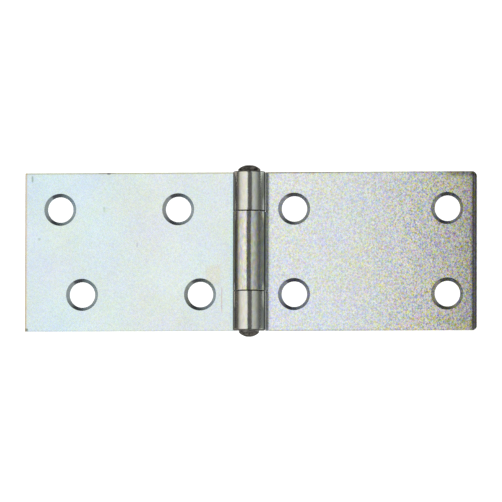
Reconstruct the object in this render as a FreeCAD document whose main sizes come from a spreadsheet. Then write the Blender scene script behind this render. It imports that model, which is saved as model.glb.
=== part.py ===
import FreeCAD, Part
import math
import os

import Sketcher

# Back-flap hinge of zinc-plated sheet steel, 100 x 35 mm when it lies open.
#
# Two rectangular leaves are blanked from sheet. Each has one side rolled into knuckles round
# a common pin: the leaf on -X holds both outer knuckles, the leaf on +X holds the centre one.
# The pin is peened over at both ends, so the three pieces stay together for good.
#
# Frame: the origin lies on the pin axis, halfway along it. +Y runs along the pin, +X points to
# the leaf with the centre knuckle, +Z points to the side on which the knuckles stand proud.
# The hinge is drawn lying open, both leaves in one plane. Millimetres and degrees.

DIMENSIONS = [
    # alias, value, what it is
    ("open_width", 100.0, "far end of one leaf to far end of the other, lying open"),
    ("leaf_height", 35.0, "both leaves, measured along the pin"),
    ("sheet_thickness", 1.5, "steel sheet of both leaves"),
    ("pin_diameter", 4.0, "pin shank"),
    ("pin_clearance", 0.075, "radial running clearance between shank and knuckles"),
    ("free_end_angle", 31.0, "how far below the pin axis the rolled sheet's free end comes round"),
    ("centre_knuckle", 17.5, "nominal length of the centre knuckle"),
    ("knuckle_gap", 0.12, "end play between neighbouring knuckles"),
    ("notch_reach", 3.39, "pin axis to a leaf's cut edge beside the other leaf's knuckle"),
    ("overrun", 1.0, "how far a cutting outline runs past the metal"),
    ("hole_diameter", 5.6, "screw hole"),
    ("countersink_diameter", 7.1, "mouth of the countersink on the knuckle side"),
    ("countersink_angle", 90.0, "included angle of the countersink"),
    ("row_spacing", 18.8, "between the two rows of screw holes, along the pin"),
    ("outer_leaf_pitch", 26.2, "outer-knuckle leaf: hole to hole within a row"),
    ("outer_leaf_inset", 11.1, "outer-knuckle leaf: pin axis to the nearest hole"),
    ("outer_leaf_stagger", 4.9, "outer-knuckle leaf: how much further out the +Y row lies"),
    ("centre_leaf_pitch", 33.8, "centre-knuckle leaf: hole to hole within a row"),
    ("centre_leaf_inset", 9.7, "centre-knuckle leaf: pin axis to the nearest hole"),
    ("outer_leaf_end_round", 0.15, "outer-knuckle leaf: radius along its far end's front edge"),
    ("centre_leaf_end_round", 0.9, "centre-knuckle leaf: shearing roll-over along its far end"),
    ("centre_leaf_corner", 1.1, "centre-knuckle leaf: radius of its far corners"),
    ("outer_leaf_edge_break", 0.1, "outer-knuckle leaf: radius along its front edges"),
    ("centre_leaf_edge_break", 0.2, "centre-knuckle leaf: radius along its front edges"),
    ("blank_rollover", 0.3, "radius along the back of a leaf's edges and round its end rims"),
    ("joint_rim_round", 0.08, "radius round the rims where two knuckles meet"),
    ("head_height", 1.35, "each peened head, from the knuckle's end to the tip"),
    ("top_head_diameter", 4.9, "peened head at the +Y end"),
    ("top_head_rim", 0.5, "straight rim of the +Y head"),
    ("top_head_flat", 0.9, "hammered flat on the +Y head's tip, as a radius"),
    ("bottom_head_diameter", 4.4, "peened head at the -Y end"),
    ("bottom_head_rim", 0.45, "straight rim of the -Y head"),
    ("bottom_head_flat", 0.5, "hammered flat on the -Y head's tip, as a radius"),
]

SIZE = {alias: value for alias, value, _ in DIMENSIONS}

# Sizes that several outlines share, each as a number and as the rule that binds it to the sheet.
BORE = SIZE["pin_diameter"] / 2 + SIZE["pin_clearance"]
CROWN = BORE + SIZE["sheet_thickness"]
HALF_WIDTH = SIZE["open_width"] / 2
HALF_HEIGHT = SIZE["leaf_height"] / 2
BORE_RULE = "Dimensions.pin_diameter / 2 + Dimensions.pin_clearance"
CROWN_RULE = BORE_RULE + " + Dimensions.sheet_thickness"
HALF_WIDTH_RULE = "Dimensions.open_width / 2"
HALF_HEIGHT_RULE = "Dimensions.leaf_height / 2"

# Points of a sketch element, in the sketcher's own numbering.
START, END, CENTRE = 1, 2, 3
ORIGIN = (-1, 1)
VERTICAL_AXIS = -2

Z_AXIS = FreeCAD.Vector(0, 0, 1)
TOLERANCE = 1e-4


def make_sheet(doc):
    """The spreadsheet of driving dimensions: name, value and meaning in each row."""
    sheet = doc.addObject("Spreadsheet::Sheet", "Dimensions")
    for row, (alias, value, meaning) in enumerate(DIMENSIONS, start=1):
        sheet.set(f"A{row}", alias)
        sheet.set(f"B{row}", str(value))
        sheet.set(f"C{row}", meaning)
        sheet.setAlias(f"B{row}", alias)
    doc.recompute()


def make_body(doc, label):
    """An empty body that will hold one piece of the hinge."""
    body = doc.addObject("PartDesign::Body", label)
    body.Label = label
    body.Placement = FreeCAD.Placement()
    return body


def make_sketch(body, name, role):
    """An empty sketch lying on one of the body's own origin planes."""
    sketch = body.newObject("Sketcher::SketchObject", f"{body.Name}_{name}")
    plane = next(item for item in body.Origin.OriginFeatures if item.Role == role)
    sketch.AttachmentSupport = (plane, [""])
    sketch.MapMode = "FlatFace"
    return sketch


def point(x, y):
    """A point in a sketch's plane."""
    return FreeCAD.Vector(x, y, 0)


def add_line(sketch, start, end):
    """A straight sketch element from one (x, y) to another; returns its number."""
    return sketch.addGeometry(Part.LineSegment(point(*start), point(*end)))


def add_circle(sketch, centre, radius):
    """A full circle; returns its number."""
    return sketch.addGeometry(Part.Circle(point(*centre), Z_AXIS, radius))


def add_arc(sketch, centre, radius, start_angle, end_angle):
    """A counter-clockwise arc between two angles in degrees; returns its number."""
    circle = Part.Circle(point(*centre), Z_AXIS, radius)
    arc = Part.ArcOfCircle(circle, math.radians(start_angle), math.radians(end_angle))
    return sketch.addGeometry(arc)


def constrain(sketch, *words):
    """Add one constraint that has no size of its own."""
    sketch.addConstraint(Sketcher.Constraint(*words))


def constrain_size(sketch, name, rule, *words):
    """Add a dimensional constraint, name it and bind its size to the spreadsheet."""
    number = sketch.addConstraint(Sketcher.Constraint(*words))
    sketch.renameConstraint(number, name)
    sketch.setExpression("Constraints." + name, rule)


def place_point(sketch, name, rule, direction, element, end, value):
    """Fix a point's distance from the origin along DistanceX or DistanceY.

    value is the signed distance as drawn, and rule gives its size without the sign.
    """
    if value > 0:
        constrain_size(sketch, name, rule, direction, *ORIGIN, element, end, value)
    else:
        constrain_size(sketch, name, rule, direction, element, end, *ORIGIN, -value)


def add_polygon(sketch, corners):
    """A closed run of straight lines, joined end to start; returns their numbers."""
    count = len(corners)
    sides = [add_line(sketch, corners[i], corners[(i + 1) % count]) for i in range(count)]
    for i, side in enumerate(sides):
        constrain(sketch, "Coincident", side, END, sides[(i + 1) % count], START)
    return sides


def add_rectangle(sketch, name, x_low, x_high, y_low, y_high):
    """A rectangle whose four limits are (signed value, size rule) pairs."""
    corners = [(x[0], y[0]) for x, y in
               ((x_low, y_low), (x_high, y_low), (x_high, y_high), (x_low, y_high))]
    sides = add_polygon(sketch, corners)
    for side in sides[0::2]:
        constrain(sketch, "Horizontal", side)
    for side in sides[1::2]:
        constrain(sketch, "Vertical", side)
    for word, direction, element, (value, rule) in (
        ("x_low", "DistanceX", sides[0], x_low),
        ("x_high", "DistanceX", sides[1], x_high),
        ("y_low", "DistanceY", sides[0], y_low),
        ("y_high", "DistanceY", sides[2], y_high),
    ):
        place_point(sketch, f"{name}_{word}", rule, direction, element, START, value)


def pad_rolled_sheet(doc, body, side, end_round_name):
    """The sheet as rolled, before any cutting: a flat strip that curls round the pin axis.

    side is -1 for a leaf on -X and +1 for one on +X. The strip runs beneath the pin, climbs
    its far side, comes over the top and stops just short of itself.
    """
    end_round = SIZE[end_round_name]
    droop = SIZE["free_end_angle"]
    reach = side * HALF_WIDTH
    round_centre = (side * (HALF_WIDTH - end_round), -BORE - end_round)
    if side < 0:
        roll_span, roll_root, roll_tip, tip_angle = (-90, 180 + droop), START, END, 180 + droop
        round_span, round_top, round_foot = (90, 180), START, END
        lean, lean_rule = droop, "Dimensions.free_end_angle * 1 deg"
    else:
        roll_span, roll_root, roll_tip, tip_angle = (-droop, 270), END, START, -droop
        round_span, round_top, round_foot = (0, 90), END, START
        lean, lean_rule = 180 - droop, "180 deg - Dimensions.free_end_angle * 1 deg"
    tip = (math.cos(math.radians(tip_angle)), math.sin(math.radians(tip_angle)))

    sketch = make_sketch(body, "section", "XZ_Plane")
    back = add_line(sketch, (reach, -CROWN), (0, -CROWN))
    outer_roll = add_arc(sketch, (0, 0), CROWN, *roll_span)
    free_edge = add_line(sketch, (CROWN * tip[0], CROWN * tip[1]), (BORE * tip[0], BORE * tip[1]))
    inner_roll = add_arc(sketch, (0, 0), BORE, *roll_span)
    front = add_line(sketch, (0, -BORE), (round_centre[0], -BORE))
    rounding = add_arc(sketch, round_centre, end_round, *round_span)
    far_end = add_line(sketch, (reach, round_centre[1]), (reach, -CROWN))

    constrain(sketch, "Coincident", outer_roll, CENTRE, *ORIGIN)
    constrain(sketch, "Coincident", inner_roll, CENTRE, *ORIGIN)
    constrain(sketch, "Coincident", back, END, outer_roll, roll_root)
    constrain(sketch, "Coincident", outer_roll, roll_tip, free_edge, START)
    constrain(sketch, "Coincident", free_edge, END, inner_roll, roll_tip)
    constrain(sketch, "Coincident", inner_roll, roll_root, front, START)
    constrain(sketch, "Tangent", front, END, rounding, round_top)
    constrain(sketch, "Tangent", rounding, round_foot, far_end, START)
    constrain(sketch, "Coincident", far_end, END, back, START)
    constrain(sketch, "Horizontal", back)
    constrain(sketch, "Horizontal", front)
    constrain(sketch, "Vertical", far_end)
    constrain(sketch, "PointOnObject", back, END, VERTICAL_AXIS)
    constrain(sketch, "PointOnObject", front, START, VERTICAL_AXIS)
    constrain(sketch, "PointOnObject", *ORIGIN, free_edge)
    constrain_size(sketch, "crown_radius", CROWN_RULE, "Radius", outer_roll, CROWN)
    constrain_size(sketch, "bore_radius", BORE_RULE, "Radius", inner_roll, BORE)
    constrain_size(sketch, "end_round", "Dimensions." + end_round_name,
                   "Radius", rounding, end_round)
    constrain_size(sketch, "free_end_lean", lean_rule, "Angle", free_edge, math.radians(lean))
    place_point(sketch, "leaf_reach", HALF_WIDTH_RULE, "DistanceX", back, START, reach)

    pad = body.newObject("PartDesign::Pad", f"{body.Name}_rolled_sheet")
    pad.Profile = sketch
    pad.SideType = "Symmetric"
    pad.setExpression("Length", "Dimensions.leaf_height")
    doc.recompute()


def cut_out(doc, body, sketch, name):
    """Cut a sketched outline out of the sheet, through everything above and below it."""
    before = body.Shape.Volume
    pocket = body.newObject("PartDesign::Pocket", f"{body.Name}_{name}")
    pocket.Profile = sketch
    pocket.SideType = "Symmetric"
    pocket.Type = "ThroughAll"
    doc.recompute()
    if not body.Shape.Volume < before - TOLERANCE:
        raise ValueError(f"{pocket.Name} removes nothing")


def cut_off_roll(doc, body, sketch, name):
    """Cut a sketched outline out of whatever stands in front of the flat sheet."""
    before = body.Shape.Volume
    sketch.setExpression("AttachmentOffset.Base.z", f"-({BORE_RULE})")
    pocket = body.newObject("PartDesign::Pocket", f"{body.Name}_{name}")
    pocket.Profile = sketch
    pocket.Type = "ThroughAll"
    pocket.Reversed = True
    doc.recompute()
    if not body.Shape.Volume < before - TOLERANCE:
        raise ValueError(f"{pocket.Name} removes nothing")


def notch_leaf(doc, body, side, spans):
    """Free the rolled side of a leaf for the other leaf's knuckles.

    side is -1 for a leaf on -X and +1 for one on +X. Each span is a name with its lower and
    upper limit along Y. The roll goes right across, and the flat sheet back to notch_reach.
    """
    beyond = CROWN + SIZE["overrun"]
    beyond_rule = CROWN_RULE + " + Dimensions.overrun"
    reach = (side * SIZE["notch_reach"], "Dimensions.notch_reach")
    low, high = (-beyond, beyond_rule), (beyond, beyond_rule)
    flat_low, flat_high = (reach, high) if side < 0 else (low, reach)

    roll_sketch = make_sketch(body, "roll_outline", "XY_Plane")
    for name, y_low, y_high in spans:
        add_rectangle(roll_sketch, name, low, high, y_low, y_high)
    cut_off_roll(doc, body, roll_sketch, "roll_cut")

    flat_sketch = make_sketch(body, "notch_outline", "XY_Plane")
    for name, y_low, y_high in spans:
        add_rectangle(flat_sketch, name, flat_low, flat_high, y_low, y_high)
    cut_out(doc, body, flat_sketch, "notch")


def notch_for_centre_knuckle(doc, body):
    """Free the middle of the -X leaf for the other leaf's knuckle."""
    half = (SIZE["centre_knuckle"] + SIZE["knuckle_gap"]) / 2
    half_rule = "(Dimensions.centre_knuckle + Dimensions.knuckle_gap) / 2"
    notch_leaf(doc, body, -1, [("middle", (-half, half_rule), (half, half_rule))])


def notch_for_outer_knuckles(doc, body):
    """Free both ends of the +X leaf for the other leaf's knuckles."""
    inner = (SIZE["centre_knuckle"] - SIZE["knuckle_gap"]) / 2
    inner_rule = "(Dimensions.centre_knuckle - Dimensions.knuckle_gap) / 2"
    outer = HALF_HEIGHT + SIZE["overrun"]
    outer_rule = HALF_HEIGHT_RULE + " + Dimensions.overrun"
    notch_leaf(doc, body, 1, [
        ("top", (inner, inner_rule), (outer, outer_rule)),
        ("bottom", (-outer, outer_rule), (-inner, inner_rule)),
    ])


def round_far_corners(doc, body):
    """Round both far corners of the +X leaf, seen from the front."""
    corner = SIZE["centre_leaf_corner"]
    far = HALF_WIDTH + SIZE["overrun"]
    start = HALF_WIDTH - corner
    sketch = make_sketch(body, "corner_outlines", "XY_Plane")
    for name, up in (("top", 1), ("bottom", -1)):
        edge = up * HALF_HEIGHT
        beyond = up * (HALF_HEIGHT + SIZE["overrun"])
        turn = up * (HALF_HEIGHT - corner)
        along = add_line(sketch, (start, edge), (start, beyond))
        across = add_line(sketch, (start, beyond), (far, beyond))
        back = add_line(sketch, (far, beyond), (far, turn))
        inward = add_line(sketch, (far, turn), (HALF_WIDTH, turn))
        if up > 0:
            arc, arc_side, arc_top = add_arc(sketch, (start, turn), corner, 0, 90), START, END
        else:
            arc, arc_side, arc_top = add_arc(sketch, (start, turn), corner, 270, 360), END, START
        constrain(sketch, "Coincident", along, END, across, START)
        constrain(sketch, "Coincident", across, END, back, START)
        constrain(sketch, "Coincident", back, END, inward, START)
        constrain(sketch, "Coincident", inward, END, arc, arc_side)
        constrain(sketch, "Coincident", arc, arc_top, along, START)
        constrain(sketch, "Vertical", along)
        constrain(sketch, "Horizontal", across)
        constrain(sketch, "Vertical", back)
        constrain(sketch, "Horizontal", inward)
        constrain(sketch, "Vertical", arc, CENTRE, arc, arc_top)
        constrain(sketch, "Horizontal", arc, CENTRE, arc, arc_side)
        constrain_size(sketch, name + "_corner", "Dimensions.centre_leaf_corner",
                       "Radius", arc, corner)
        place_point(sketch, name + "_leaf_end", HALF_WIDTH_RULE,
                    "DistanceX", arc, arc_side, HALF_WIDTH)
        place_point(sketch, name + "_leaf_edge", HALF_HEIGHT_RULE,
                    "DistanceY", arc, arc_top, edge)
        place_point(sketch, name + "_far", HALF_WIDTH_RULE + " + Dimensions.overrun",
                    "DistanceX", across, END, far)
        place_point(sketch, name + "_beyond", HALF_HEIGHT_RULE + " + Dimensions.overrun",
                    "DistanceY", across, END, beyond)
    cut_out(doc, body, sketch, "corners")


def drill_screw_holes(doc, body, centres):
    """Countersunk screw holes, sunk from the front face of the leaf.

    Each centre is a pair of (signed value, size rule) pairs, along X and along Y.
    """
    radius = SIZE["hole_diameter"] / 2
    sketch = make_sketch(body, "hole_centres", "XY_Plane")
    sketch.setExpression("AttachmentOffset.Base.z", f"-({BORE_RULE})")
    circles = []
    for number, ((x, x_rule), (y, y_rule)) in enumerate(centres, start=1):
        circle = add_circle(sketch, (x, y), radius)
        place_point(sketch, f"hole_{number}_x", x_rule, "DistanceX", circle, CENTRE, x)
        place_point(sketch, f"hole_{number}_y", y_rule, "DistanceY", circle, CENTRE, y)
        circles.append(circle)
    for circle in circles[1:]:
        constrain(sketch, "Equal", circles[0], circle)
    constrain_size(sketch, "hole_radius", "Dimensions.hole_diameter / 2",
                   "Radius", circles[0], radius)
    doc.recompute()

    before = body.Shape.Volume
    hole = body.newObject("PartDesign::Hole", f"{body.Name}_screw_holes")
    hole.Profile = sketch
    hole.DepthType = "ThroughAll"
    hole.HoleCutType = "Countersink"
    hole.HoleCutCustomValues = True
    hole.setExpression("Diameter", "Dimensions.hole_diameter")
    hole.setExpression("HoleCutDiameter", "Dimensions.countersink_diameter")
    hole.setExpression("HoleCutCountersinkAngle", "Dimensions.countersink_angle")
    doc.recompute()
    straight_bores = len(centres) * math.pi * radius ** 2 * SIZE["sheet_thickness"]
    if not body.Shape.Volume < before - straight_bores:
        raise ValueError(f"{hole.Name} removes too little")


def near(a, b):
    """Whether two lengths agree."""
    return abs(a - b) < TOLERANCE


def is_front_long_edge(edge):
    """A long straight edge of a leaf's front face, at its +Y or -Y side."""
    box = edge.BoundBox
    at_front = near(box.ZMin, -BORE) and near(box.ZMax, -BORE)
    return at_front and near(box.YMin, box.YMax) and box.XLength > HALF_WIDTH / 2


def is_rim(edge):
    """The outer rim of one end of a knuckle."""
    box = edge.BoundBox
    is_round = edge.Curve.TypeId == "Part::GeomCircle"
    return is_round and near(edge.Curve.Radius, CROWN) and near(box.YMin, box.YMax)


def is_end_rim(edge):
    """A rim at the +Y or -Y end of the hinge; the back edge of the leaf runs on from it."""
    return is_rim(edge) and near(abs(edge.BoundBox.YMin), HALF_HEIGHT)


def is_joint_rim(edge):
    """A rim where two knuckles meet."""
    return is_rim(edge) and abs(edge.BoundBox.YMin) < HALF_HEIGHT / 2 + SIZE["overrun"]


def round_edges(doc, body, size_name, is_wanted):
    """Round those edges of the body, and the edges that run on smoothly from them."""
    base = body.Tip
    edges = [
        f"Edge{number}" for number, edge in enumerate(base.Shape.Edges, start=1) if is_wanted(edge)
    ]
    if not edges:
        raise ValueError(f"{body.Name} has no edge to round by {size_name}")
    fillet = body.newObject("PartDesign::Fillet", f"{body.Name}_{size_name}")
    fillet.Base = (base, edges)
    fillet.setExpression("Radius", "Dimensions." + size_name)
    doc.recompute()


def make_outer_knuckle_leaf(doc):
    """The -X leaf: rolled into the two outer knuckles, its rows of holes staggered."""
    body = make_body(doc, "outer_knuckle_leaf")
    pad_rolled_sheet(doc, body, -1, "outer_leaf_end_round")
    round_edges(doc, body, "blank_rollover", is_end_rim)
    round_edges(doc, body, "outer_leaf_edge_break", is_front_long_edge)
    notch_for_centre_knuckle(doc, body)
    half_row = SIZE["row_spacing"] / 2
    half_row_rule = "Dimensions.row_spacing / 2"
    centres = []
    for up in (1, -1):
        for step in (0, 1):
            x = -SIZE["outer_leaf_inset"] - step * SIZE["outer_leaf_pitch"]
            rule = f"Dimensions.outer_leaf_inset + {step} * Dimensions.outer_leaf_pitch"
            if up > 0:
                x -= SIZE["outer_leaf_stagger"]
                rule += " + Dimensions.outer_leaf_stagger"
            centres.append(((x, rule), (up * half_row, half_row_rule)))
    drill_screw_holes(doc, body, centres)
    round_edges(doc, body, "joint_rim_round", is_joint_rim)
    return body


def make_centre_knuckle_leaf(doc):
    """The +X leaf: rolled into the centre knuckle, its holes in a plain rectangle."""
    body = make_body(doc, "centre_knuckle_leaf")
    pad_rolled_sheet(doc, body, 1, "centre_leaf_end_round")
    round_edges(doc, body, "centre_leaf_edge_break", is_front_long_edge)
    notch_for_outer_knuckles(doc, body)
    round_far_corners(doc, body)
    half_row = SIZE["row_spacing"] / 2
    half_row_rule = "Dimensions.row_spacing / 2"
    centres = []
    for up in (1, -1):
        for step in (0, 1):
            x = SIZE["centre_leaf_inset"] + step * SIZE["centre_leaf_pitch"]
            rule = f"Dimensions.centre_leaf_inset + {step} * Dimensions.centre_leaf_pitch"
            centres.append(((x, rule), (up * half_row, half_row_rule)))
    drill_screw_holes(doc, body, centres)
    round_edges(doc, body, "joint_rim_round", is_joint_rim)
    return body


def add_peened_head(sketch, name, up, diameter_name, rim_name, flat_name):
    """Half the outline of one head, from the shank's corner to the tip on the axis.

    up is +1 at the +Y end and -1 at the -Y end. Returns the first and last line.
    """
    end = up * HALF_HEIGHT
    radius = SIZE[diameter_name] / 2
    shoulder = end + up * SIZE[rim_name]
    tip = end + up * SIZE["head_height"]
    flat = SIZE[flat_name]
    # The crown is the arc that has its centre on the pin axis and runs from rim to flat.
    rise = SIZE["head_height"] - SIZE[rim_name]
    sink = (radius**2 - flat**2 - rise**2) / (2 * rise)
    centre = (0, shoulder - up * sink)
    crown_radius = math.hypot(radius, sink)
    rim_angle = math.degrees(math.atan2(sink, radius))
    flat_angle = math.degrees(math.atan2(sink + rise, flat))

    seat = add_line(sketch, (SIZE["pin_diameter"] / 2, end), (radius, end))
    rim = add_line(sketch, (radius, end), (radius, shoulder))
    if up > 0:
        crown = add_arc(sketch, centre, crown_radius, rim_angle, flat_angle)
        crown_foot, crown_top = START, END
    else:
        crown = add_arc(sketch, centre, crown_radius, -flat_angle, -rim_angle)
        crown_foot, crown_top = END, START
    face = add_line(sketch, (flat, tip), (0, tip))
    constrain(sketch, "Coincident", seat, END, rim, START)
    constrain(sketch, "Coincident", rim, END, crown, crown_foot)
    constrain(sketch, "Coincident", crown, crown_top, face, START)
    constrain(sketch, "PointOnObject", crown, CENTRE, VERTICAL_AXIS)
    constrain(sketch, "PointOnObject", face, END, VERTICAL_AXIS)
    constrain(sketch, "Horizontal", seat)
    constrain(sketch, "Vertical", rim)
    constrain(sketch, "Horizontal", face)
    constrain_size(sketch, name + "_head_radius", f"Dimensions.{diameter_name} / 2",
                   "DistanceX", *ORIGIN, rim, START, radius)
    constrain_size(sketch, name + "_flat_radius", f"Dimensions.{flat_name}",
                   "DistanceX", *ORIGIN, face, START, flat)
    place_point(sketch, name + "_seat", HALF_HEIGHT_RULE, "DistanceY", seat, START, end)
    place_point(sketch, name + "_shoulder", f"{HALF_HEIGHT_RULE} + Dimensions.{rim_name}",
                "DistanceY", rim, END, shoulder)
    place_point(sketch, name + "_tip", HALF_HEIGHT_RULE + " + Dimensions.head_height",
                "DistanceY", face, START, tip)
    return seat, face


def make_hinge_pin(doc):
    """The pin: a plain shank between two peened heads, turned about the pin axis."""
    body = make_body(doc, "hinge_pin")
    shank = SIZE["pin_diameter"] / 2
    sketch = make_sketch(body, "outline", "XY_Plane")
    top_seat, top_face = add_peened_head(
        sketch, "top", 1, "top_head_diameter", "top_head_rim", "top_head_flat"
    )
    bottom_seat, bottom_face = add_peened_head(
        sketch, "bottom", -1, "bottom_head_diameter", "bottom_head_rim", "bottom_head_flat"
    )
    tip = HALF_HEIGHT + SIZE["head_height"]
    side = add_line(sketch, (shank, -HALF_HEIGHT), (shank, HALF_HEIGHT))
    axis = add_line(sketch, (0, tip), (0, -tip))
    constrain(sketch, "Coincident", bottom_seat, START, side, START)
    constrain(sketch, "Coincident", side, END, top_seat, START)
    constrain(sketch, "Coincident", top_face, END, axis, START)
    constrain(sketch, "Coincident", axis, END, bottom_face, END)
    constrain(sketch, "Vertical", side)
    constrain_size(sketch, "shank_radius", "Dimensions.pin_diameter / 2",
                   "DistanceX", *ORIGIN, side, START, shank)

    turned = body.newObject("PartDesign::Revolution", "hinge_pin_turned")
    turned.Profile = sketch
    turned.ReferenceAxis = (sketch, ["V_Axis"])
    turned.Angle = 360
    doc.recompute()
    return body


def check_document(doc, pieces):
    """Stop if any object failed, or any piece is not one sound solid."""
    for item in doc.Objects:
        if "Invalid" in item.State or "Error" in item.State:
            raise ValueError(f"{item.Name} failed: {item.State}")
    for piece in pieces:
        if piece.Shape.isNull() or not piece.Shape.isValid() or len(piece.Shape.Solids) != 1:
            raise ValueError(f"{piece.Label} is not one sound solid")


def main():
    """Build the three pieces and write each to its own file in parts/."""
    os.makedirs("parts", exist_ok=True)
    doc = FreeCAD.newDocument("BackFlapHinge")
    make_sheet(doc)
    pieces = [
        make_outer_knuckle_leaf(doc),
        make_centre_knuckle_leaf(doc),
        make_hinge_pin(doc),
    ]
    doc.recompute()
    check_document(doc, pieces)
    for piece in pieces:
        piece.Shape.exportStep(f"parts/{piece.Label}.step")
        print(f"{piece.Label}: {piece.Shape.Volume:.1f} mm3")


main()
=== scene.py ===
"""Looks for the back flap hinge: two zinc-plated leaves lying open on a pin with peened heads.

The CAD nodes are kept as they are. They get procedural plating, and the photo's light and camera are
set up round them. Lengths are in metres in the row frame: +X runs to the centre-knuckle leaf's end,
+Y along the pin and +Z out of the face on which the knuckles stand proud.
"""

import math

import bpy
from mathutils import Matrix, Vector

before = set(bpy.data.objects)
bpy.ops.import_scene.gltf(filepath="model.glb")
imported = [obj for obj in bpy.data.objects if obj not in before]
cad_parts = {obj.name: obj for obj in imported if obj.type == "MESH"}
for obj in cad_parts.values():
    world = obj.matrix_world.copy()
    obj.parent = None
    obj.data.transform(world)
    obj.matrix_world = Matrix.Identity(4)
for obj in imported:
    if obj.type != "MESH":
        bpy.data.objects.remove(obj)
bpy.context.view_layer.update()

MM = 0.001

# The two leaves' plating. Each mark is where it lies across and along the pin, its half width and
# half length, all in millimetres, and the tint it gives the plating.
LEAF_ROUGHNESS = 0.18
SMOOTH_LEAF = {
    "side": -1.0,
    "near_colour": (0.75, 0.835, 0.855, 1.0),
    "end_colour": (0.72, 0.85, 0.91, 1.0),
    "near_speckle": 0.38,
    "end_speckle": 0.32,
    "near_grain": 1.5e-6,
    "end_grain": 1.5e-6,
    "knuckle_lean": 0.0,
    # Painted shade level on hole walls that face -X.
    "hole_shade": 0.70,
    "marks": [
        (-6.3, -10.6, 0.13, 2.6, (0.92, 0.74, 0.78, 1.0)),
        (-8.2, -5.2, 1.6, 2.2, (1.0, 0.94, 0.86, 1.0)),
        (-4.1, 0.0, 0.35, 17.0, (0.86, 1.0, 1.04, 1.0)),
        (-48.4, 16.2, 0.2, 0.7, (0.62, 0.64, 0.54, 1.0)),
        (-31.8, 17.44, 1.8, 0.1, (0.60, 0.52, 0.50, 1.0)),
        (-31.4, 17.3, 0.35, 0.16, (0.30, 0.27, 0.36, 1.0)),
        (-46.9, 2.9, 0.3, 0.25, (0.80, 0.80, 0.80, 1.0)),
        (-32.4, 9.4, 0.25, 0.6, (0.82, 0.84, 0.80, 1.0)),
        (-25.1, 1.6, 0.1, 0.5, (0.68, 0.68, 0.74, 1.0)),
        (-49.6, -17.1, 0.3, 0.3, (0.40, 0.40, 0.38, 1.0)),
    ],
}
GRAINED_LEAF = {
    "side": 1.0,
    "near_colour": (0.745, 0.80, 0.835, 1.0),
    "end_colour": (0.78, 0.79, 0.765, 1.0),
    "near_speckle": 1.0,
    "end_speckle": 2.3,
    "near_grain": 5e-6,
    "end_grain": 7.5e-6,
    "knuckle_lean": math.sin(math.radians(3.4)),
    # Painted shade level on hole walls that face -X.
    "hole_shade": 0.55,
    "marks": [],
}

# What both leaves' plating shares. A lean is the sine of the angle by which the normal is turned.
LEAF_LEAN = math.sin(math.radians(2.65))
HOLE_LEAN = 0.2
ROUGHNESS_SPREAD = 0.015
CLOUD_SIZE = 11 * MM
CLOUD_AMOUNT = 0.26
SPECK_SIZE = 0.36 * MM
STREAK_SIZE = 0.5 * MM
GRAIN_SIZE = 0.5 * MM
WAVE_SIZE = 1.3 * MM
WAVE_HEIGHT = 18e-6
ROLL_ROUGHNESS = 0.17
FLANK_ROUGHNESS = 0.30
ROLL_EDGE_GLOSS = (0.35, 0.35, 0.35, 1.0)
FULL_EDGE_GLOSS = (1.0, 1.0, 1.0, 1.0)

# The rolls' colours, the painted shade on their flanks, and the grime and painted shade in the joints
# between them.
CROWN_LEFT_COLOUR = (0.80, 0.785, 0.70, 1.0)
CROWN_RIGHT_COLOUR = (0.755, 0.80, 0.725, 1.0)
LEFT_FLANK_SHADE_COLOUR = (0.36, 0.34, 0.30, 1.0)
GRIME_AND_SHADE_COLOUR = (0.05, 0.045, 0.04, 1.0)
JOINT_ALONG = 8.81 * MM
JOINT_HALF_WIDTH = 0.12 * MM

# The pin's steel, and a painted highlight on its lower head.
PIN_DARK_COLOUR = (0.045, 0.042, 0.038, 1.0)
PIN_PALE_COLOUR = (0.20, 0.19, 0.17, 1.0)
PIN_RIM_HIGHLIGHT_COLOUR = (0.26, 0.25, 0.24, 1.0)
PIN_EDGE_GLOSS = (0.25, 0.25, 0.25, 1.0)
PIN_DENT_DEPTH = 0.16 * MM

# The camera: a long lens almost square on, a little from the right and from below.
CAMERA_TILT_RIGHT = math.radians(6.5)
CAMERA_TILT_DOWN = math.radians(3.3)
CAMERA_ROLL = math.radians(0.13)
CAMERA_DISTANCE = 2.0
CAMERA_AIM = Vector((0.41 * MM, 0.0, 0.0))
FRAME_WIDTH = 110.35 * MM
SENSOR_WIDTH = 36.0

# The studio: a light tent round the pin axis, open above for the camera. Each half is a list of
# (angle from the vertical in degrees, positive to the right, and brightness there).
TENT_RADIUS = 0.45
TENT_LENGTH = 2.4
TENT_STEPS = 48
LEFT_HALF = [(-88, 0.10), (-78, 0.14), (-70, 0.40), (-60, 0.68), (-48, 0.84), (-30, 0.92), (-5, 1.05)]
RIGHT_HALF = [(26, 0.62), (36, 0.60), (50, 0.50), (64, 0.33), (75, 0.18), (88, 0.12)]
TENT_COLOUR = (1.0, 0.99, 0.96, 1.0)
TENT_FULL_GLOW = 2.0
ROOM_COLOUR = (0.117, 0.106, 0.114, 1.0)
FLOOR_HEIGHT = -65 * MM
FLOOR_RADIUS = 0.7
FLOOR_COLOUR = (0.9, 0.9, 0.9, 1.0)
FLOOR_GLOW = 0.7


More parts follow.
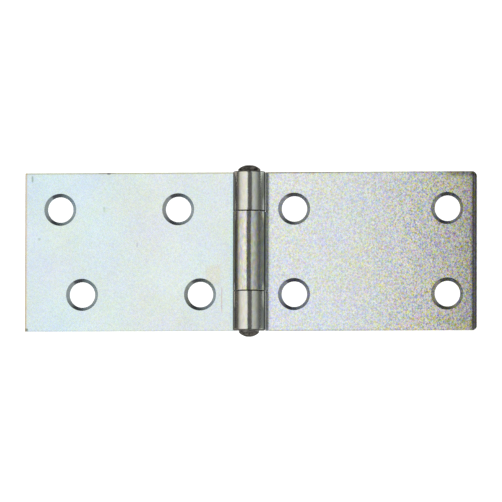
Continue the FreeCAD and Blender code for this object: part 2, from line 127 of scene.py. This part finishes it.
class Graph:
    """A material's node tree, with short names for the nodes that the plating uses."""

    def __init__(self, name):
        self.material = bpy.data.materials.new(name)
        self.material.use_nodes = True
        self.tree = self.material.node_tree
        self.tree.nodes.clear()
        self.shader = self.tree.nodes.new("ShaderNodeBsdfPrincipled")
        output = self.tree.nodes.new("ShaderNodeOutputMaterial")
        self.tree.links.new(self.shader.outputs["BSDF"], output.inputs["Surface"])
        coordinates = self.tree.nodes.new("ShaderNodeTexCoord")
        self.place = coordinates.outputs["Object"]
        self.x, self.y, self.z = self.parts(self.place)
        self.normal = self.tree.nodes.new("ShaderNodeNewGeometry").outputs["Normal"]
        self.facing = self.turned(self.normal, "WORLD", "OBJECT")

    def feed(self, socket, value):
        """Links value to socket if it is another node's output, and otherwise sets it."""
        if isinstance(value, bpy.types.NodeSocket):
            self.tree.links.new(value, socket)
        else:
            socket.default_value = value

    def parts(self, vector):
        node = self.tree.nodes.new("ShaderNodeSeparateXYZ")
        self.feed(node.inputs["Vector"], vector)
        return node.outputs["X"], node.outputs["Y"], node.outputs["Z"]

    def turned(self, direction, source, target):
        node = self.tree.nodes.new("ShaderNodeVectorTransform")
        node.vector_type = "VECTOR"
        node.convert_from = source
        node.convert_to = target
        self.feed(node.inputs["Vector"], direction)
        return node.outputs["Vector"]

    def math(self, operation, first, second=0.0, third=0.0):
        node = self.tree.nodes.new("ShaderNodeMath")
        node.operation = operation
        self.feed(node.inputs[0], first)
        self.feed(node.inputs[1], second)
        self.feed(node.inputs[2], third)
        return node.outputs["Value"]

    def vector_math(self, operation, first, second=(0.0, 0.0, 0.0)):
        node = self.tree.nodes.new("ShaderNodeVectorMath")
        node.operation = operation
        self.feed(node.inputs[0], first)
        self.feed(node.inputs[1], second)
        return node.outputs["Vector"]

    def times(self, *factors):
        product = factors[0]
        for factor in factors[1:]:
            product = self.math("MULTIPLY", product, factor)
        return product

    def scaled(self, vector, factor):
        node = self.tree.nodes.new("ShaderNodeVectorMath")
        node.operation = "SCALE"
        self.feed(node.inputs["Vector"], vector)
        self.feed(node.inputs["Scale"], factor)
        return node.outputs["Vector"]

    def rise(self, value, start, end, low=0.0, high=1.0):
        """low up to start, high from end on, and a smooth step between them."""
        node = self.tree.nodes.new("ShaderNodeMapRange")
        node.interpolation_type = "SMOOTHSTEP"
        self.feed(node.inputs["Value"], value)
        node.inputs["From Min"].default_value = start
        node.inputs["From Max"].default_value = end
        node.inputs["To Min"].default_value = low
        node.inputs["To Max"].default_value = high
        return node.outputs["Result"]

    def rise_to(self, amount, level):
        """1 where amount is 0, and level where amount is 1."""
        change = self.math("SUBTRACT", level, 1.0)
        return self.math("ADD", self.math("MULTIPLY", amount, change), 1.0)

    def near(self, value, centre, reach, softness):
        """1 where value is within reach of centre and 0 beyond it, with soft sides."""
        offset = self.math("ABSOLUTE", self.math("SUBTRACT", value, centre))
        return self.rise(offset, max(reach - softness, 0.0), reach + softness, 1.0, 0.0)

    def stretched(self, factors):
        node = self.tree.nodes.new("ShaderNodeMapping")
        self.feed(node.inputs["Vector"], self.place)
        node.inputs["Scale"].default_value = factors
        return node.outputs["Vector"]

    def noise(self, cell, detail=2.0, roughness=0.5, place=None, seed=0.0):
        """Smooth noise about 0.5 with features about cell metres across."""
        node = self.tree.nodes.new("ShaderNodeTexNoise")
        node.noise_dimensions = "4D"
        self.feed(node.inputs["Vector"], place or self.place)
        node.inputs["W"].default_value = seed
        node.inputs["Scale"].default_value = 1.0 / cell
        node.inputs["Detail"].default_value = detail
        node.inputs["Roughness"].default_value = roughness
        return node.outputs["Fac"], node.outputs["Color"]

    def mix(self, amount, first, second, blend="MIX"):
        node = self.tree.nodes.new("ShaderNodeMix")
        node.data_type = "RGBA"
        node.blend_type = blend
        self.feed(node.inputs[0], amount)
        self.feed(node.inputs[6], first)
        self.feed(node.inputs[7], second)
        return node.outputs[2]

    def speckled(self, colour, grains, amount):
        """colour with coloured grains, mostly blue against yellow and a little red against green."""
        centred = self.vector_math("SUBTRACT", grains, (0.5, 0.5, 0.5))
        yellow, red, blue = self.parts(centred)
        node = self.tree.nodes.new("ShaderNodeCombineXYZ")
        self.feed(node.inputs["X"], self.math("MULTIPLY_ADD", red, 0.5, yellow))
        self.feed(node.inputs["Y"], self.math("MULTIPLY_ADD", red, -0.35, yellow))
        self.feed(node.inputs["Z"], self.math("MULTIPLY", blue, 1.9))
        change = self.scaled(node.outputs["Vector"], amount)
        return self.vector_math("MULTIPLY", colour, self.vector_math("ADD", change, (1.0, 1.0, 1.0)))

    def leaning_normal(self, lean):
        """The surface's normal, leaning toward +X of the piece by the sine given."""
        node = self.tree.nodes.new("ShaderNodeCombineXYZ")
        self.feed(node.inputs["X"], lean)
        lean_vector = self.turned(node.outputs["Vector"], "OBJECT", "WORLD")
        return self.vector_math("NORMALIZE", self.vector_math("ADD", self.normal, lean_vector))

    def finish(self, colour, roughness, height, normal=None):
        """Gives the shader its colour, roughness and surface height in metres."""
        bump = self.tree.nodes.new("ShaderNodeBump")
        if normal is not None:
            self.feed(bump.inputs["Normal"], normal)
        bump.inputs["Strength"].default_value = 1.0
        bump.inputs["Distance"].default_value = 1.0
        self.feed(bump.inputs["Height"], height)
        self.feed(self.shader.inputs["Normal"], bump.outputs["Normal"])
        self.feed(self.shader.inputs["Base Color"], colour)
        self.feed(self.shader.inputs["Roughness"], roughness)
        self.shader.inputs["Metallic"].default_value = 1.0
        return self.material


def knuckle_colour_and_shade(g):
    """Colour of the rolls: warm on the left of the crown, greenish on its right, and painted shade
    that darkens both flanks, most in a band near the right edge.
    """
    turn = g.math("ARCTAN2", g.x, g.z)
    past_crown = g.rise(turn, math.radians(-14), math.radians(4))
    colour = g.mix(past_crown, CROWN_LEFT_COLOUR, CROWN_RIGHT_COLOUR)
    # Painted shade: the left flank turns a dark dull brown.
    left_flank_shade = g.rise(turn, math.radians(-47), math.radians(-41), 1.0, 0.0)
    colour = g.mix(left_flank_shade, colour, LEFT_FLANK_SHADE_COLOUR)
    # Painted shade: the right flank is dimmed, and darker still in a band near its edge.
    right_flank_shade = g.rise(turn, math.radians(50), math.radians(60), 1.0, 0.72)
    right_edge_shade = g.near(turn, math.radians(80), math.radians(9), math.radians(5))
    return g.scaled(colour, g.times(right_flank_shade, g.rise(right_edge_shade, 0.0, 1.0, 1.0, 0.4)))


def edge_tints_and_shade(g, colour, side):
    """Tints and darkens the sheared edges, and paints shade toward the grained leaf's end and top
    corner and in the mouth of the crevice beside the rolls.
    """
    outward = g.math("MULTIPLY", g.x, side)
    top_edge = g.rise(g.y, 17.05 * MM, 17.4 * MM)
    bottom_edge = g.rise(g.y, -17.4 * MM, -17.15 * MM, 1.0, 0.0)
    end_edge = g.rise(outward, 49.45 * MM, 49.75 * MM)
    if side < 0:
        colour = g.mix(top_edge, colour, (0.72, 0.66, 0.46, 1.0), "MULTIPLY")
        colour = g.mix(bottom_edge, colour, (0.90, 0.88, 0.86, 1.0), "MULTIPLY")
        return g.mix(end_edge, colour, (1.0, 0.74, 0.52, 1.0), "MULTIPLY")
    brown = g.mix(g.rise(g.x, 12 * MM, 26 * MM), (0.42, 0.36, 0.25, 1.0), (0.66, 0.65, 0.54, 1.0))
    colour = g.mix(top_edge, colour, brown, "MULTIPLY")
    colour = g.mix(bottom_edge, colour, (0.74, 0.72, 0.68, 1.0), "MULTIPLY")
    # Painted shade: the grained leaf darkens toward its top corner, its end and the strip along its
    # very end.
    top_corner = g.times(g.rise(g.y, 16.0 * MM, 17.0 * MM), g.rise(g.x, 40 * MM, 46 * MM))
    end_shade = g.rise(g.x, 48.3 * MM, 49.5 * MM, 1.0, 0.29)
    end_falloff_shade = g.rise(g.x, 44 * MM, 49 * MM, 1.0, 0.90)
    shade = g.times(g.rise(top_corner, 0.0, 1.0, 1.0, 0.5), end_shade, end_falloff_shade)
    # Painted shade in the mouth of the crevice beside the outer knuckles.
    beside_outer_knuckle = g.rise(g.math("ABSOLUTE", g.y), 8.7 * MM, 8.9 * MM)
    crevice_shade = g.rise(g.x, 3.4 * MM, 4.5 * MM, 1.0, 0.0)
    shade = g.times(shade, g.rise(g.times(beside_outer_knuckle, crevice_shade), 0.0, 1.0, 1.0, 0.85))
    return g.scaled(colour, shade)


def plating(name, look):
    """Zinc plating for one leaf; look is one of the dictionaries above."""
    g = Graph(name)
    side = look["side"]
    toward_end = g.rise(g.math("MULTIPLY", g.x, side), 14 * MM, 50 * MM)
    on_knuckle = g.rise(g.z, -1.9 * MM, -1.4 * MM)

    # Colour: pale zinc with faint clouds.
    clouds, cloud_tints = g.noise(CLOUD_SIZE, 3.0, 0.6)
    colour = g.mix(toward_end, look["near_colour"], look["end_colour"])
    colour = g.speckled(colour, cloud_tints, CLOUD_AMOUNT)
    front = g.rise(g.z, -2.9 * MM, -2.4 * MM)
    for across, along, half_width, half_length, tint in look["marks"]:
        where = g.times(
            front,
            g.near(g.x, across * MM, half_width * MM, 0.25 * half_width * MM + 0.05 * MM),
            g.near(g.y, along * MM, half_length * MM, 0.25 * half_length * MM + 0.05 * MM),
        )
        colour = g.mix(where, colour, tint, "MULTIPLY")
    colour = edge_tints_and_shade(g, colour, side)
    colour = g.mix(on_knuckle, colour, knuckle_colour_and_shade(g))

    # Fine coloured specks, drawn out along the rolls.
    specks = g.noise(SPECK_SIZE, 1.0, 0.5, seed=3.0)[1]
    streaks = g.noise(STREAK_SIZE, 1.0, 0.5, place=g.stretched((1.0, 0.4, 1.0)), seed=4.0)[1]
    specks = g.mix(on_knuckle, specks, streaks)
    speck_amount = g.rise(toward_end, 0.0, 1.0, look["near_speckle"], look["end_speckle"])
    colour = g.speckled(colour, specks, speck_amount)

    # Countersinks and hole walls get painted shade by the way they face: least where they face +X,
    # most where -X or +Y.
    facing_x, facing_y, facing_z = g.parts(g.facing)
    steep = g.rise(g.math("ABSOLUTE", facing_z), 0.80, 0.94, 1.0, 0.0)
    inside_outline = g.rise(g.math("ABSOLUTE", g.y), 16.8 * MM, 17.0 * MM, 1.0, 0.0)
    on_leaf = g.rise(on_knuckle, 0.0, 1.0, 1.0, 0.0)
    in_hole = g.times(steep, inside_outline, on_leaf)
    facing_right = g.rise(facing_x, 0.1, 0.75, 0.60, 0.98)
    facing_left = g.rise(facing_x, -0.7, -0.1, look["hole_shade"], 1.0)
    facing_up = g.rise(facing_y, 0.1, 0.6, 1.0, 0.62)
    hole_shade = g.times(facing_right, facing_left, facing_up)
    colour = g.scaled(colour, g.rise_to(in_hole, hole_shade))

    # Grime and painted shade in the joints between the knuckles, and painted shade on the rolls' end
    # rims.
    height_along = g.math("ABSOLUTE", g.y)
    joint = g.near(height_along, JOINT_ALONG, JOINT_HALF_WIDTH, 0.04 * MM)
    end_face = g.rise(g.math("ABSOLUTE", facing_y), 0.85, 0.97, 1.0, 0.25)
    end_rim = g.times(g.rise(height_along, 17.25 * MM, 17.36 * MM), end_face)
    grime_and_shade = g.times(on_knuckle, g.math("MAXIMUM", joint, end_rim))
    colour = g.mix(grime_and_shade, colour, GRIME_AND_SHADE_COLOUR)

    # Height: grain on the leaf and slight waves along the rolls.
    grain = g.noise(GRAIN_SIZE, 1.5, 0.5, seed=1.0)[0]
    waves = g.noise(WAVE_SIZE, 2.0, 0.5, seed=5.0)[0]
    grain_height = g.rise(toward_end, 0.0, 1.0, look["near_grain"], look["end_grain"])
    height = g.math("ADD", g.times(grain, grain_height), g.times(waves, on_knuckle, WAVE_HEIGHT))

    # The leaves aren't quite flat to the light, and the rolls and holes reflect it their own way.
    lean = g.rise(on_knuckle, 0.0, 1.0, -LEAF_LEAN, look["knuckle_lean"])
    lean = g.math("ADD", lean, g.times(in_hole, g.math("MAXIMUM", facing_x, 0.0), -HOLE_LEAN))

    # Gloss: slightly uneven on the leaf, duller on the rolls' right flank.
    smoothest = LEAF_ROUGHNESS - ROUGHNESS_SPREAD
    roughest = LEAF_ROUGHNESS + ROUGHNESS_SPREAD
    rough_clouds = g.rise(clouds, 0.3, 0.7, smoothest, roughest)
    turn = g.math("ARCTAN2", g.x, g.z)
    flank_start = math.radians(50)
    flank_end = math.radians(62)
    rolled = g.rise(turn, flank_start, flank_end, ROLL_ROUGHNESS, FLANK_ROUGHNESS)
    roughness = g.mix(on_knuckle, rough_clouds, rolled)
    edge_gloss = g.mix(on_knuckle, FULL_EDGE_GLOSS, ROLL_EDGE_GLOSS)
    g.feed(g.shader.inputs["Specular Tint"], edge_gloss)
    return g.finish(colour, roughness, height, g.leaning_normal(lean))


def pin_metal(name):
    """Dark, hammered steel for the pin and its peened heads, with a painted highlight round the lower
    head's rim.
    """
    g = Graph(name)
    patches = g.noise(0.8 * MM, 3.0, 0.6)[0]
    colour = g.mix(g.rise(patches, 0.3, 0.7), PIN_DARK_COLOUR, PIN_PALE_COLOUR)
    # Painted highlight: a paler band round the lower head's shoulder.
    lower_rim_highlight = g.near(g.y, -17.7 * MM, 0.22 * MM, 0.08 * MM)
    colour = g.mix(lower_rim_highlight, colour, PIN_RIM_HIGHLIGHT_COLOUR)
    dents = g.noise(0.6 * MM, 2.0, 0.5, seed=2.0)[0]
    height = g.math("MULTIPLY", dents, PIN_DENT_DEPTH)
    roughness = g.rise(patches, 0.3, 0.7, 0.5, 0.35)
    g.shader.inputs["Specular Tint"].default_value = PIN_EDGE_GLOSS
    return g.finish(colour, roughness, height)


def paint(node_name, material):
    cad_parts[node_name].material_slots[0].material = material


def add_tent_half(name, glow):
    """One curved half of the light tent, glowing as its list of angles and brightnesses says."""
    first, last = glow[0][0], glow[-1][0]
    vertices = []
    for step in range(TENT_STEPS + 1):
        angle = math.radians(first + (last - first) * step / TENT_STEPS)
        for end in (-0.5, 0.5):
            x = TENT_RADIUS * math.sin(angle)
            z = TENT_RADIUS * math.cos(angle)
            vertices.append((x, end * TENT_LENGTH, z))
    faces = [(2 * i, 2 * i + 1, 2 * i + 3, 2 * i + 2) for i in range(TENT_STEPS)]
    mesh = bpy.data.meshes.new(name)
    mesh.from_pydata(vertices, [], faces)
    half = bpy.data.objects.new(name, mesh)
    bpy.context.scene.collection.objects.link(half)
    half.visible_camera = False

    material = bpy.data.materials.new(name)
    material.use_nodes = True
    tree = material.node_tree
    tree.nodes.clear()
    coordinates = tree.nodes.new("ShaderNodeTexCoord")
    axes = tree.nodes.new("ShaderNodeSeparateXYZ")
    tree.links.new(coordinates.outputs["Object"], axes.inputs["Vector"])
    angle = tree.nodes.new("ShaderNodeMath")
    angle.operation = "ARCTAN2"
    tree.links.new(axes.outputs["X"], angle.inputs[0])
    tree.links.new(axes.outputs["Z"], angle.inputs[1])
    share = tree.nodes.new("ShaderNodeMapRange")
    share.inputs["From Min"].default_value = math.radians(first)
    share.inputs["From Max"].default_value = math.radians(last)
    tree.links.new(angle.outputs["Value"], share.inputs["Value"])
    brightness = tree.nodes.new("ShaderNodeFloatCurve")
    curve = brightness.mapping.curves[0]
    points = [((degrees - first) / (last - first), value / TENT_FULL_GLOW) for degrees, value in glow]
    curve.points[0].location = points[0]
    curve.points[1].location = points[-1]
    for location in points[1:-1]:
        curve.points.new(*location)
    for curve_point in curve.points:
        curve_point.handle_type = "VECTOR"
    brightness.mapping.update()
    tree.links.new(share.outputs["Result"], brightness.inputs["Value"])
    strength = tree.nodes.new("ShaderNodeMath")
    strength.operation = "MULTIPLY"
    strength.inputs[1].default_value = TENT_FULL_GLOW
    tree.links.new(brightness.outputs["Value"], strength.inputs[0])
    emission = tree.nodes.new("ShaderNodeEmission")
    emission.inputs["Color"].default_value = TENT_COLOUR
    tree.links.new(strength.outputs["Value"], emission.inputs["Strength"])
    output = tree.nodes.new("ShaderNodeOutputMaterial")
    tree.links.new(emission.outputs["Emission"], output.inputs["Surface"])
    mesh.materials.append(material)


def add_floor():
    """A round pale floor under the hinge, lit from below like a light table."""
    bpy.ops.mesh.primitive_circle_add(
        vertices=96,
        radius=FLOOR_RADIUS,
        fill_type="NGON",
        location=(0.0, 0.0, FLOOR_HEIGHT),
    )
    floor = bpy.context.object
    floor.name = "floor"
    material = bpy.data.materials.new("pale_floor")
    material.use_nodes = True
    shader = material.node_tree.nodes["Principled BSDF"]
    shader.inputs["Base Color"].default_value = FLOOR_COLOUR
    shader.inputs["Roughness"].default_value = 0.9
    shader.inputs["Emission Color"].default_value = (1.0, 1.0, 1.0, 1.0)
    shader.inputs["Emission Strength"].default_value = FLOOR_GLOW
    floor.data.materials.append(material)


def add_room():
    world = bpy.data.worlds.new("room")
    world.use_nodes = True
    background = world.node_tree.nodes["Background"]
    background.inputs["Color"].default_value = ROOM_COLOUR
    bpy.context.scene.world = world


def add_camera():
    back = Vector((math.sin(CAMERA_TILT_RIGHT), -math.sin(CAMERA_TILT_DOWN), 0.0))
    back.z = math.sqrt(1.0 - back.length_squared)
    level = Vector((0.0, 1.0, 0.0)).cross(back).normalized()
    right = Matrix.Rotation(CAMERA_ROLL, 3, back) @ level
    up = back.cross(right)
    data = bpy.data.cameras.new("camera")
    data.sensor_width = SENSOR_WIDTH
    data.lens = SENSOR_WIDTH * CAMERA_DISTANCE / FRAME_WIDTH
    camera = bpy.data.objects.new("camera", data)
    place = Matrix((right, up, back)).transposed().to_4x4()
    place.translation = CAMERA_AIM + back * CAMERA_DISTANCE
    camera.matrix_world = place
    bpy.context.scene.collection.objects.link(camera)
    bpy.context.scene.camera = camera
    bpy.context.scene.view_settings.view_transform = "Standard"


paint("outer_knuckle_leaf", plating("smooth_zinc_plate", SMOOTH_LEAF))
paint("centre_knuckle_leaf", plating("grained_zinc_plate", GRAINED_LEAF))
paint("hinge_pin", pin_metal("pin_steel"))
add_floor()
add_room()
add_tent_half("left_tent", LEFT_HALF)
add_tent_half("right_tent", RIGHT_HALF)
add_camera()
